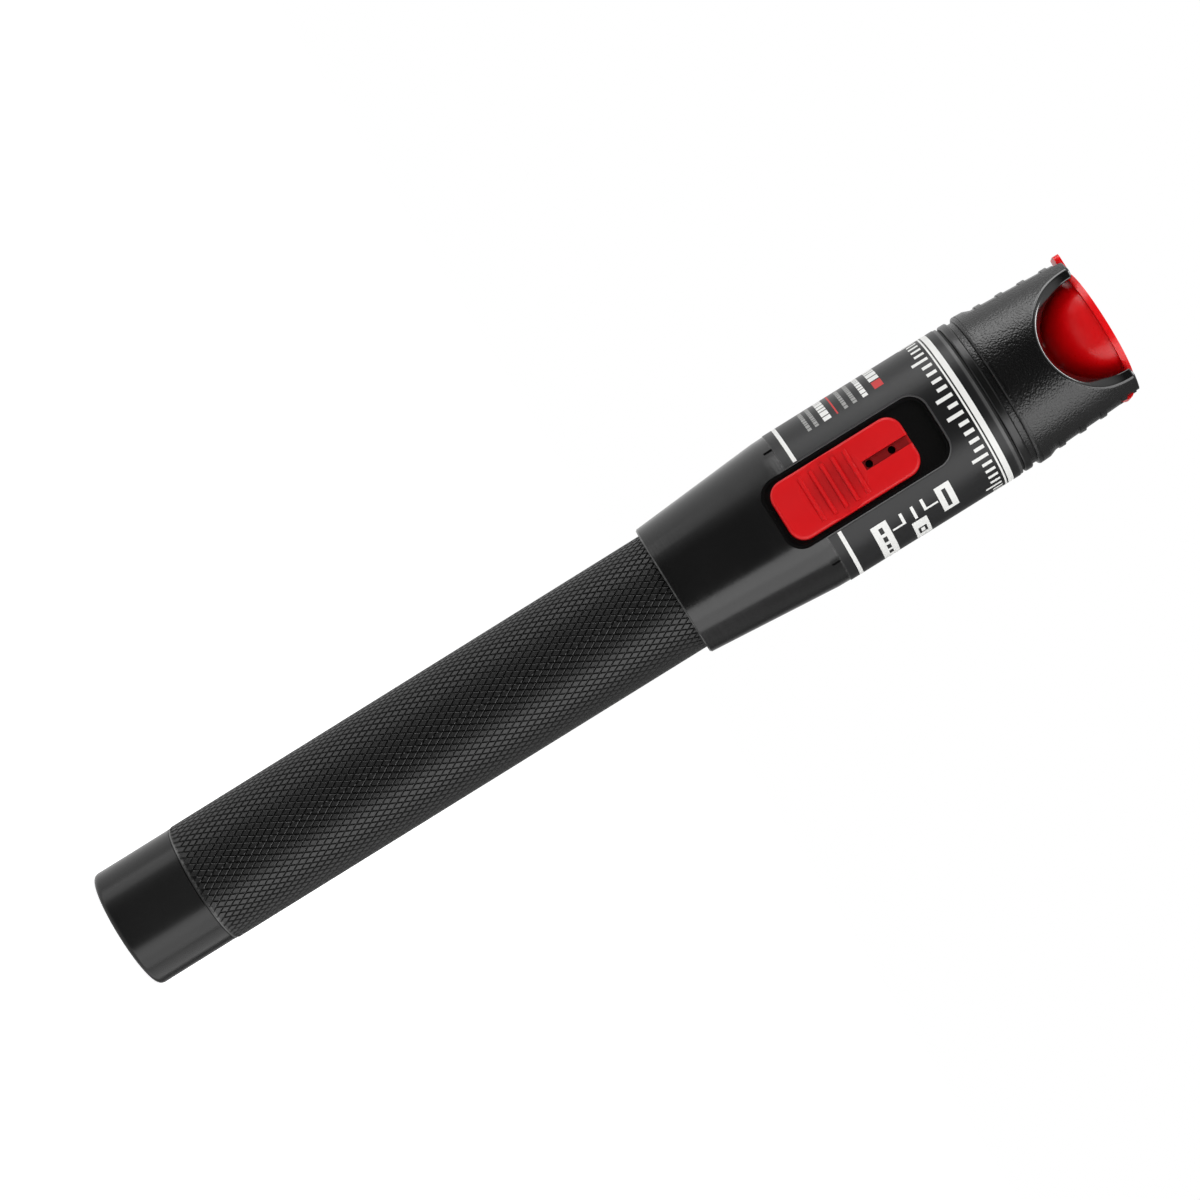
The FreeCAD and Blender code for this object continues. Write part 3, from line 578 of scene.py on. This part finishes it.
# ---------------------------------------------------------------- knurled grip tube
def knurl_tree():
    """Rows of truncated diamonds on a cylinder, joined to the tube that is given."""
    graph, given = node_tree("diamond_knurl", {
        "Material": ("Material", None),
        "Starts": ("Int", 55),
        "Rows": ("Int", 80),
        "First": ("Float", 15.0 * MM),
        "Row length": ("Float", 2.0 * MM),
        "Base radius": ("Float", 9.8 * MM),
        "Height": ("Float", 0.3 * MM),
        "Crest share": ("Float", 0.6),
    })
    starts, radius = given["Starts"], given["Base radius"]
    index = graph.node("GeometryNodeInputIndex")[0]
    row = (index / starts).floor()
    column = index - row * starts
    shift = (row * 0.5).fraction()
    turn = (column + shift) * math.tau / starts
    height = given["First"] + row * given["Row length"] * 0.5
    place = graph.joined(turn.cos() * radius, turn.sin() * radius, height)
    outward = graph.joined(turn.cos(), turn.sin(), 0.0)
    diamond = graph.node("GeometryNodeMeshCone", {"fill_type": "NGON"}, {
        "Vertices": 4, "Radius Top": given["Crest share"], "Radius Bottom": 1.0, "Depth": 1.0,
    })[0]
    size = graph.joined(given["Row length"] * 0.5, radius * math.pi / starts, given["Height"])
    knurls = on_wall(graph, given["Rows"] * starts, place, outward, diamond, size)
    joined = graph.node("GeometryNodeJoinGeometry", None, {0: [given["Geometry"], knurls]})[0]
    return closed(graph, joined, given["Material"])


class FAULTLOCATOR_OT_grip_tube(bpy.types.Operator):
    """Knurled battery tube with its plain ends and bore"""

    bl_idname = "fault_locator.grip_tube"
    bl_label = "Grip tube"

    def execute(self, context):
        knurl = context.scene.fault_locator_knurl
        first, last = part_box("battery_tube")
        start, end, collar = first[2], last[2], low("collar", 2)
        root, plain = knurl.radius - knurl.depth, last[0]
        thread, thread_start = plain - 0.8 * MM, collar + 3.0 * MM
        bore = high("battery_lower", 0) + 0.35 * MM
        seat, seat_end = bore + 1.25 * MM, start + 6.3 * MM
        land, sunk = 0.35 * MM, 0.05 * MM
        tail_end = [(seat, start), (plain - 0.1 * MM, start), (plain - 0.02 * MM, start + land * 0.4)]
        knurl_root = [(root, start + land), (root, collar + 0.4 * MM)]
        head_end = [(plain, collar + 0.6 * MM), (plain, thread_start), (thread, thread_start), (thread, end)]
        inside = [(bore, end), (bore, seat_end), (seat, seat_end)]
        material = anodised(
            "anodised_grip", tuple(context.scene.fault_locator_colours.anodised), rough=0.42, level=0.5,
            turning=0.0, grain=0.16 * MM, edges=(start + 0.42 * MM,), seams=(start,),
            painted_light_and_shade=knurl_painted_light(root, knurl.radius),
        )
        tube = lathe(tail_end + knurl_root + head_end + inside, segments=160)
        mesh = baked(tube, knurl_tree(), {
            "Material": material,
            "Starts": knurl.starts,
            "Rows": int((collar - start - 0.2 * MM) / (knurl.lead_row / 2)) + 1,
            "First": start + land + knurl.lead_row * 0.42,
            "Row length": knurl.lead_row,
            "Base radius": root - sunk,
            "Height": knurl.depth + sunk,
            "Crest share": knurl.crest,
        })
        mesh.name = "grip_tube_knurled"
        piece_from(mesh, "grip_tube_knurled", "pen_body", material, ("battery_tube",))
        return {"FINISHED"}


# ---------------------------------------------------------------- rolled lip of the cut-outs
def lip_tree():
    """Rounded bar along the edge of a round cut-out in a tapered shell. Side 1 is the front, -1 the back."""
    graph, given = node_tree("cut_out_lip", {
        "Material": ("Material", None),
        "Side": ("Float", 1.0),
        "Steps": ("Int", 120),
        "Corners": ("Int", 25),
        "Cut radius": ("Float", 9.86 * MM),
        "Centre": ("Float", 176.8 * MM),
        "End angle": ("Float", 1.65),
        "Lip": ("Float", 0.95 * MM),
        "Inward": ("Float", 0.2 * MM),
        "Draft": ("Float", 0.6 * MM),
        "Inner radius": ("Float", 10.9 * MM),
        "End radius": ("Float", 12.3 * MM),
        "End height": ("Float", 177.6 * MM),
        "Slope": ("Float", 0.0547),
    })
    tip = 0.05  # turn in radians over which each end closes
    fullness = 0.6  # 1 is an elliptical section, less is fuller
    grid = graph.node("GeometryNodeMeshGrid", None, {
        "Size X": 2.0, "Size Y": math.tau, "Vertices X": given["Steps"], "Vertices Y": given["Corners"],
    })[0]
    along, around, _ = graph.split(graph.node("GeometryNodeInputPosition")[0])
    angle = given["End angle"] * (along * 1.5 - along * along * along * 0.5)
    end = ((abs(angle) - given["End angle"] + tip) / tip).most(0.0)
    full = (1.0 - end * end).most(0.0) ** 0.5
    across = around.cos().sign() * abs(around.cos()) ** fullness * full
    outward = around.sin().sign() * abs(around.sin()) ** fullness * full
    reach = given["Cut radius"] - given["Inward"] + given["Lip"] * 0.5 * (1.0 - across)
    reach = reach - given["Draft"] * 0.5 * (1.0 - outward)
    x = reach * angle.sin()
    z = given["Centre"] - reach * angle.cos()
    shell = given["End radius"] + (given["End height"] - z) * given["Slope"]
    y = (shell * shell - x * x) ** 0.5
    middle, half = (shell + given["Inner radius"]) * 0.5, (shell - given["Inner radius"]) * 0.5
    share = (middle + half * outward) / shell
    place = graph.joined(x * share * given["Side"], y * share * given["Side"] * -1.0, z)
    bent = graph.node("GeometryNodeSetPosition", None, {"Geometry": grid, "Position": place})[0]
    shut = graph.node("GeometryNodeMergeByDistance", None, {"Geometry": bent, "Distance": 0.002 * MM})[0]
    smooth = graph.node("GeometryNodeSetShadeSmooth", None, {"Geometry": shut, "Shade Smooth": True})[0]
    return closed(graph, smooth, given["Material"])


class FAULTLOCATOR_OT_head_lips(bpy.types.Operator):
    """Smooth rolled lips round the head's two cut-outs"""

    bl_idname = "fault_locator.head_lips"
    bl_label = "Head lips"

    def execute(self, context):
        head = context.scene.fault_locator_head
        black = tuple(context.scene.fault_locator_colours.moulding)
        material = moulded("lip_gloss", black, rough=0.14, grain=0.3 * MM, depth=0.003 * MM, level=0.7)
        end, end_radius = high("head_shroud", 2), high("head_shroud", 0) - head.taper
        ring_gap = 0.9 * MM
        sizes = {
            "Material": material,
            "Steps": 120,
            "Corners": 25,
            "Cut radius": head.cut_radius,
            "Centre": end - head.cut_drop,
            "End angle": math.acos(-head.cut_drop / head.cut_radius),
            "Lip": head.lip,
            "Inward": head.inward,
            "Draft": head.draft,
            "Inner radius": end_radius - head.wall,
            "End radius": end_radius + 0.03 * MM,
            "End height": end,
            "Slope": head.taper / (end - high("front_ring", 2) - ring_gap),
        }
        tree = lip_tree()
        for name, side in (("front_lip", 1.0), ("rear_lip", -1.0)):
            mesh = baked(bpy.data.meshes.new("empty"), tree, {**sizes, "Side": side})
            turned_out(mesh)
            mesh.name = name
            piece_from(mesh, name, "pen_body", material)
        return {"FINISHED"}


# ---------------------------------------------------------------- printed marks
# A mark is ((first turn, last turn), (low, high)): degrees from -Y towards +X, millimetres from the tail.
FACET_TURN = math.radians(2.5)
STEADY_BOX = ((39.5, 66.0), (142.05, 144.7))
STEADY_BAR = ((43.5, 62.0), (143.0, 143.7))
OFF_BOX = ((57.0, 87.0), (136.6, 139.25))
OFF_FRAME = [
    ((66.5, 76.5), (137.2, 137.6)), ((66.5, 76.5), (138.25, 138.65)),
    ((66.5, 68.3), (137.2, 138.65)), ((74.7, 76.5), (137.2, 138.65)),
]
PULSE_BOX = ((40.0, 88.0), (130.65, 133.4))
PULSES = [((turn, turn + 6.0), (131.7, 132.4)) for turn in (44.0, 53.5, 63.0, 72.5)]
RED_MARKS = [((-108, -45), (135.8, 136.05)), ((-54.5, -46), (142.7, 144.3))]
# A row is ((first turn, last turn), pitch in degrees, (low, high)).
FINE_ROWS = [
    ((-112, -45), 3.4, (130.65, 131.3)), ((-98, -45), 2.9, (131.95, 132.6)),
    ((-118, -45), 3.7, (137.2, 137.85)), ((-104, -45), 3.1, (138.75, 139.45)),
]
BOLD_ROWS = [
    ((-100, -45), 5.6, (133.55, 134.85)),
    ((-112, -45), 4.4, (140.5, 141.4)),
    ((-96, -56), 6.8, (142.6, 144.3)),
]


def blocks(rows):
    """Marks of three widths in turn along rows, with gaps of a fifth of the pitch."""
    made = []
    for (first, turn), pitch, heights in rows:
        index = 0
        while turn - pitch > first:
            wide = pitch * (0.8, 1.0, 0.6)[index % 3]
            made.append(((turn - wide, turn), heights))
            turn, index = turn - wide - pitch * 0.2, index + 1
    return made


def film_patch(shape, radius, film, turn0, turn1, z0, z1):
    """Adds a thin curved slab between two angles and two heights. Angles run from -Y towards +X."""
    steps = max(1, math.ceil(abs(turn1 - turn0) / FACET_TURN))
    grid = []
    for step in range(steps + 1):
        turn = turn0 + (turn1 - turn0) * step / steps
        side, front = math.sin(turn), -math.cos(turn)
        column = []
        for r, z in ((radius, z0), (radius + film, z0), (radius + film, z1), (radius, z1)):
            column.append(shape.verts.new((r * side, r * front, z)))
        grid.append(column)
    for before, after in zip(grid, grid[1:]):
        for corner in range(4):
            step = (corner + 1) % 4
            shape.faces.new((before[corner], after[corner], after[step], before[step]))
    shape.faces.new(grid[0])
    shape.faces.new(list(reversed(grid[-1])))


def print_marks(name, ink, marks, radius, film):
    """Makes one piece of the label from marks."""
    shape = bmesh.new()
    for (turn0, turn1), (z0, z1) in marks:
        film_patch(shape, radius, film, math.radians(turn0), math.radians(turn1), z0 * MM, z1 * MM)
    piece_from(finished(shape, name), name, "pen_body", ink)


def bar_ring_tree():
    """Upright bars round a cylinder, every fifth one long."""
    graph, given = node_tree("scale_ring", {
        "Material": ("Material", None),
        "Bars": ("Int", 52),
        "Radius": ("Float", 13.1 * MM),
        "Film": ("Float", 0.01 * MM),
        "Top": ("Float", 152.0 * MM),
        "Bar width": ("Float", 0.6 * MM),
        "Long bar": ("Float", 2.7 * MM),
        "Short bar": ("Float", 1.5 * MM),
    })
    index = graph.node("GeometryNodeInputIndex")[0]
    turn = (index + 0.5) * math.tau / given["Bars"]
    longer = ((index + 0.5) * 0.2).fraction().below(0.2)
    length = given["Short bar"] + longer * (given["Long bar"] - given["Short bar"])
    side, front = turn.sin(), -turn.cos()
    radius = given["Radius"] - given["Film"] * 2.0
    place = graph.joined(side * radius, front * radius, given["Top"] - length * 0.5)
    outward = graph.joined(side, front, 0.0)
    bar = graph.node("GeometryNodeMeshCube", None, {"Size": (1.0, 1.0, 1.0)})[0]
    size = graph.joined(length, given["Bar width"], given["Film"] * 6.0)
    return closed(graph, on_wall(graph, given["Bars"], place, outward, bar, size), given["Material"])


class FAULTLOCATOR_OT_label_print(bpy.types.Operator):
    """White lines, mode boxes and scale bars on the label"""

    bl_idname = "fault_locator.label_print"
    bl_label = "Label print"

    def execute(self, context):
        settings = context.scene.fault_locator_print
        colour = tuple(context.scene.fault_locator_colours.ink)
        white = ink_finish("white_ink", colour)
        grey = ink_finish("grey_ink", scaled(colour, 0.38))
        black = ink_finish("black_ink", (0.008, 0.008, 0.008))
        red = ink_finish("red_ink", (0.55, 0.02, 0.02))
        radius, film = high("label_wrap", 0) - 0.002 * MM, settings.film
        start, end = low("label_wrap", 2) / MM, high("label_wrap", 2) / MM
        pocket = math.degrees(math.asin(6.3 * MM / radius))
        half_line = settings.line / MM / 2

        def leader(first, last, height):
            """A thin line round the label at one height."""
            return (first, last), (height - half_line, height + half_line)

        rings = [((pocket, 360 - pocket), (start + 1.6, start + 2.25))]
        for heights in ((end - 2.8, end - 2.5), (end - 2.25, end - 1.3)):
            rings += [((0, 180), heights), ((180, 360), heights)]
        leaders = [
            leader(41.0, 52.0, 139.6), ((50.2, 52.0), (139.6, 141.8)), leader(42.0, 54.5, 137.75),
            leader(42.0, 53.0, 135.75), ((51.2, 53.0), (133.65, 135.75)),
        ]
        lines = rings + [STEADY_BOX, OFF_BOX, PULSE_BOX] + leaders
        print_marks("label_lines", white, lines, radius, film)
        print_marks("label_symbols", black, [STEADY_BAR, *PULSES, *OFF_FRAME], radius, film * 1.8)
        print_marks("label_fine_bars", grey, blocks(FINE_ROWS), radius, film)
        print_marks("label_bold_bars", white, blocks(BOLD_ROWS), radius, film)
        print_marks("label_red_bars", red, RED_MARKS, radius, film)

        ring = baked(bpy.data.meshes.new("empty"), bar_ring_tree(), {
            "Material": white,
            "Bars": settings.bars,
            "Radius": radius,
            "Film": film,
            "Top": (end - 3.3) * MM,
            "Bar width": 0.62 * MM,
            "Long bar": 2.8 * MM,
            "Short bar": 1.7 * MM,
        })
        piece_from(ring, "label_scale_ring", "pen_body", white)
        return {"FINISHED"}


# ---------------------------------------------------------------- finishes of the CAD nodes
class FAULTLOCATOR_OT_metal_parts(bpy.types.Operator):
    """Anodised tail cap and collar, contacts, spring, laser barrel, port nose, pin and switch"""

    bl_idname = "fault_locator.metal_parts"
    bl_label = "Metal parts"

    def execute(self, context):
        colours = context.scene.fault_locator_colours
        give(anodised(
            "anodised_tail", tuple(colours.anodised), rough=0.22, level=0.33, turning=0.25, grain=0.14 * MM,
            edges=(low("tail_cap", 2),), seams=(low("battery_tube", 2),),
        ), "tail_cap")
        give(anodised(
            "anodised_collar", tuple(colours.collar), rough=0.18, level=0.5, turning=1.0, grain=0.6 * MM,
            edges=(low("collar", 2), high("collar", 2)),
        ), "collar")
        for name, colour, rough, nodes in (
            ("nickel_contact", (0.66, 0.62, 0.52), 0.28, ("tail_contact", "positive_contact", "laser_diode")),
            ("spring_wire", (0.55, 0.55, 0.56), 0.25, ("battery_spring",)),
            ("brass_barrel", (0.78, 0.56, 0.25), 0.25, ("laser_barrel",)),
            ("steel_nose", (0.62, 0.62, 0.63), 0.2, ("port_nose", "board_screws", "hinge_pin")),
            ("switch_shell", (0.60, 0.60, 0.61), 0.3, ("slide_switch",)),
        ):
            give(plain_metal(name, colour, rough), *nodes)
        return {"FINISHED"}


class FAULTLOCATOR_OT_plastic_parts(bpy.types.Operator):
    """Housing, label film, tray, head mouldings, slider, dust cap, seals, board, lens, sleeve and cells"""

    bl_idname = "fault_locator.plastic_parts"
    bl_label = "Plastic parts"

    def execute(self, context):
        colours = context.scene.fault_locator_colours
        black = tuple(colours.moulding)
        seals = ("tail_cap_seal", "tube_front_seal", "head_seal")
        # name, colour, roughness, grain and its depth in millimetres, strength of the highlights, nodes
        for name, colour, rough, grain, depth, level, nodes in (
            # the housing is a lighter grey than the other black mouldings: a painted highlight on its flat in
            # the collar's notch
            ("housing_plastic", scaled(black, 20.0), 0.35, 0.25, 0.01, 0.5, ("switch_housing",)),
            ("tray_plastic", scaled(black, 1.2), 0.25, 0.5, 0.006, 0.5, ("switch_tray", "switch_lever")),
            ("ring_plastic", black, 0.3, 0.2, 0.008, 0.5, ("front_ring",)),
            ("carrier_plastic", scaled(black, 2.0), 0.4, 0.3, 0.01, 0.5, ("contact_carrier",)),
            ("seal_rubber", (0.012, 0.012, 0.012), 0.6, 0.1, 0.01, 0.3, seals),
            ("board_green", (0.01, 0.09, 0.03), 0.35, 0.3, 0.01, 0.5, ("circuit_board",)),
            ("ceramic_sleeve", (0.75, 0.73, 0.68), 0.2, 0.3, 0.002, 0.5, ("ferrule_sleeve",)),
            ("lens_glass", (0.35, 0.40, 0.45), 0.05, 0.5, 0.001, 0.5, ("focusing_lens",)),
            ("battery_sleeve", (0.05, 0.09, 0.16), 0.3, 0.4, 0.004, 0.5, ("battery_lower", "battery_upper")),
        ):
            give(moulded(name, colour, rough, grain * MM, depth * MM, level), *nodes)
        give(moulded(
            "head_pebble", black, rough=0.28, grain=0.23 * MM, depth=0.045 * MM, pebbled=True, scuffs=0.5,
        ), "head_shroud")
        give(label_finish(tuple(colours.label)), "label_wrap")
        give(red_plastic(
            "slider_red", tuple(colours.slider), rough=0.34, level=0.28, grain=0.22 * MM, depth=0.015 * MM,
            glow=0.12, reach=0.5 * MM, painted_light_and_shade=slider_painted_shade,
        ), "slider_button")
        give(red_plastic(
            "cap_red", tuple(colours.cap), rough=0.29, level=0.35, grain=0.5 * MM, depth=0.008 * MM,
            glow=0.5, reach=1.5 * MM, painted_light_and_shade=cap_painted_glow,
        ), "dust_cap")
        return {"FINISHED"}


# ---------------------------------------------------------------- stage
WHITE = (1.0, 1.0, 1.0, 1.0)
IS_CAMERA, IS_GLOSSY, IS_TRANSMISSION = 0, 3, 6  # outputs of a Light Path node


def panel_light(name, radiance, size, centre, aim, seen=True):
    """Rectangular area lamp of a given radiance that faces a point. Unseen, it shows in no reflection."""
    width, height = size
    lamp = bpy.data.lights.new(name, "AREA")
    lamp.shape, lamp.size, lamp.size_y = "RECTANGLE", width, height
    lamp.energy = radiance * math.pi * width * height
    holder = bpy.data.objects.new(name, lamp)
    bpy.context.scene.collection.objects.link(holder)
    ahead = (aim - centre).normalized()
    side = ahead.cross(Vector((0, 0, 1))).normalized()
    up = side.cross(ahead)
    turn = Matrix((side, up, -ahead)).transposed().to_4x4()
    holder.matrix_world = Matrix.Translation(centre) @ turn
    holder.visible_camera = False
    holder.visible_glossy = seen


class FAULTLOCATOR_OT_stage(bpy.types.Operator):
    """White floor, world, soft lamps and the camera"""

    bl_idname = "fault_locator.stage"
    bl_label = "Stage"

    def floor(self):
        """White floor that glows a little. It is left out of mirror reflections, which the world fills."""
        shape = bmesh.new()
        bmesh.ops.create_grid(shape, x_segments=1, y_segments=1, size=6.0)
        mesh = bpy.data.meshes.new("floor")
        shape.to_mesh(mesh)
        shape.free()
        floor = bpy.data.objects.new("floor", mesh)
        bpy.context.scene.collection.objects.link(floor)
        paint = Finish("white_floor")
        ray = paint.node("ShaderNodeLightPath")
        seen = ray[IS_CAMERA].most(ray[IS_GLOSSY]).most(ray[IS_TRANSMISSION])
        lit = paint.node("ShaderNodeBsdfDiffuse", None, {"Color": (0.8, 0.8, 0.8, 1.0)})[0]
        glow = paint.node("ShaderNodeEmission", None, {"Color": WHITE, "Strength": seen * 0.75})[0]
        both = paint.node("ShaderNodeAddShader", None, {0: lit, 1: glow})[0]
        paint.node("ShaderNodeOutputMaterial", None, {"Surface": both})
        mesh.materials.append(paint.material)
        floor.visible_glossy = False

    def world(self):
        """Even light all round. Reflections see it brighter behind the pen, beside it and past its ends."""
        world = bpy.data.worlds.new("studio")
        world.use_nodes = True
        bpy.context.scene.world = world
        sky = Graph(world.node_tree)
        sky.tree.nodes.clear()
        ray = sky.node("ShaderNodeLightPath")
        x, y, z = sky.split(sky.node("ShaderNodeTexCoord")[0])
        behind = sky.ease(y * 0.6 - x * 0.8, 0.0, 0.9, before=0.06, after=0.9)
        beside = sky.ease(x, 0.5, 0.9, after=0.22)
        ends = sky.ease(abs(z), 0.35, 0.85, after=0.8)
        mirrored = (behind + beside).most(ends)
        mirror = ray[IS_GLOSSY].most(ray[IS_TRANSMISSION])
        camera = ray[IS_CAMERA]
        strength = camera + (1.0 - camera) * (mirror * mirrored + (1.0 - mirror) * 0.35)
        light = sky.node("ShaderNodeBackground", None, {"Color": WHITE, "Strength": strength})[0]
        sky.node("ShaderNodeOutputWorld", None, {"Surface": light})

    def lamps(self, studio):
        """Sharp strips on the +X side, soft wings on the -X side, one lamp above, a fill near the camera."""
        middle = Vector((0, 0, 0.09))
        reach = 0.8

        def beside(turn, height, distance=reach):
            """A place round the pen, some degrees from the camera."""
            angle = studio.azimuth + math.radians(turn)
            return Vector((math.sin(angle) * distance, -math.cos(angle) * distance, height))

        def aim(rise):
            """A point on the axis, above or below the pen's middle."""
            return middle + Vector((0, 0, rise))

        strip, wing = studio.strip, studio.wing
        for turn, name, share in ((50.6, "near", 1.1), (74.7, "far", 0.85)):
            sharp = strip * share
            panel_light("strip_low_" + name, sharp, (0.34, 0.8), beside(turn, -0.2), aim(-0.29))
            panel_light("strip_high_" + name, sharp * 1.45, (0.34, 0.5), beside(turn, 0.45), aim(0.36))
        panel_light("wing_high", wing, (0.5, 0.5), beside(-79.0, 0.42), aim(0.3))
        panel_light("wing_low", wing * 0.3, (0.34, 0.6), beside(-78.0, -0.32), aim(-0.41))
        panel_light("strip_tail", strip * 0.45, (0.55, 0.6), beside(110.0, -0.32), aim(-0.41))
        panel_light("crown", studio.crown, (0.3, 0.3), Vector((0.0, 0.1, 0.95)), middle)
        panel_light("fill", studio.fill, (0.6, 0.6), beside(-14.0, 0.35, 0.9), middle, seen=False)

    def camera(self, studio):
        """Long lens on the pen's axis, turned by the small angles of the settings."""
        back = Vector((math.sin(studio.azimuth), -math.cos(studio.azimuth), 0.0))
        eye = back * studio.distance + Vector((0.0, 0.0, studio.height))
        turned = Matrix.Rotation(studio.azimuth + studio.pan, 4, "Z")
        level = turned @ Matrix.Rotation(math.pi / 2 + studio.tilt, 4, "X")
        data = bpy.data.cameras.new("camera")
        data.lens, data.sensor_width = 120.0, 36.0
        holder = bpy.data.objects.new("camera", data)
        bpy.context.scene.collection.objects.link(holder)
        holder.matrix_world = Matrix.Translation(eye) @ level @ Matrix.Rotation(studio.roll, 4, "Z")
        bpy.context.scene.camera = holder

    def execute(self, context):
        studio = context.scene.fault_locator_studio
        context.scene.view_settings.view_transform = "Standard"
        self.floor()
        self.world()
        self.lamps(studio)
        self.camera(studio)
        return {"FINISHED"}


class FAULTLOCATOR_PT_panel(bpy.types.Panel):
    """Lists the settings and the steps."""

    bl_idname = "FAULTLOCATOR_PT_panel"
    bl_label = "Fault locator"
    bl_space_type = "VIEW_3D"
    bl_region_type = "UI"
    bl_category = "Fault locator"

    def draw(self, context):
        for name, group in SETTINGS.items():
            box = self.layout.box()
            box.label(text=group.__doc__)
            for key in group.__annotations__:
                box.prop(getattr(context.scene, name), key)
        for step in STEPS:
            self.layout.operator(step.bl_idname)


STEPS = (
    FAULTLOCATOR_OT_metal_parts,
    FAULTLOCATOR_OT_plastic_parts,
    FAULTLOCATOR_OT_grip_tube,
    FAULTLOCATOR_OT_head_lips,
    FAULTLOCATOR_OT_label_print,
    FAULTLOCATOR_OT_stage,
)


def register():
    """Adds the settings, the steps and the panel."""
    for group in SETTINGS.values():
        bpy.utils.register_class(group)
    for step in STEPS:
        bpy.utils.register_class(step)
    bpy.utils.register_class(FAULTLOCATOR_PT_panel)
    for name, group in SETTINGS.items():
        setattr(bpy.types.Scene, name, PointerProperty(type=group))


def unregister():
    """Takes away what register added."""
    for name in SETTINGS:
        delattr(bpy.types.Scene, name)
    bpy.utils.unregister_class(FAULTLOCATOR_PT_panel)
    for kind in (*STEPS, *SETTINGS.values()):
        bpy.utils.unregister_class(kind)


def main():
    """Registers the classes and runs the steps in order."""
    register()
    for step in STEPS:
        group, name = step.bl_idname.split(".")
        getattr(getattr(bpy.ops, group), name)()
    bpy.context.view_layer.update()


if __name__ == "__main__":
    main()
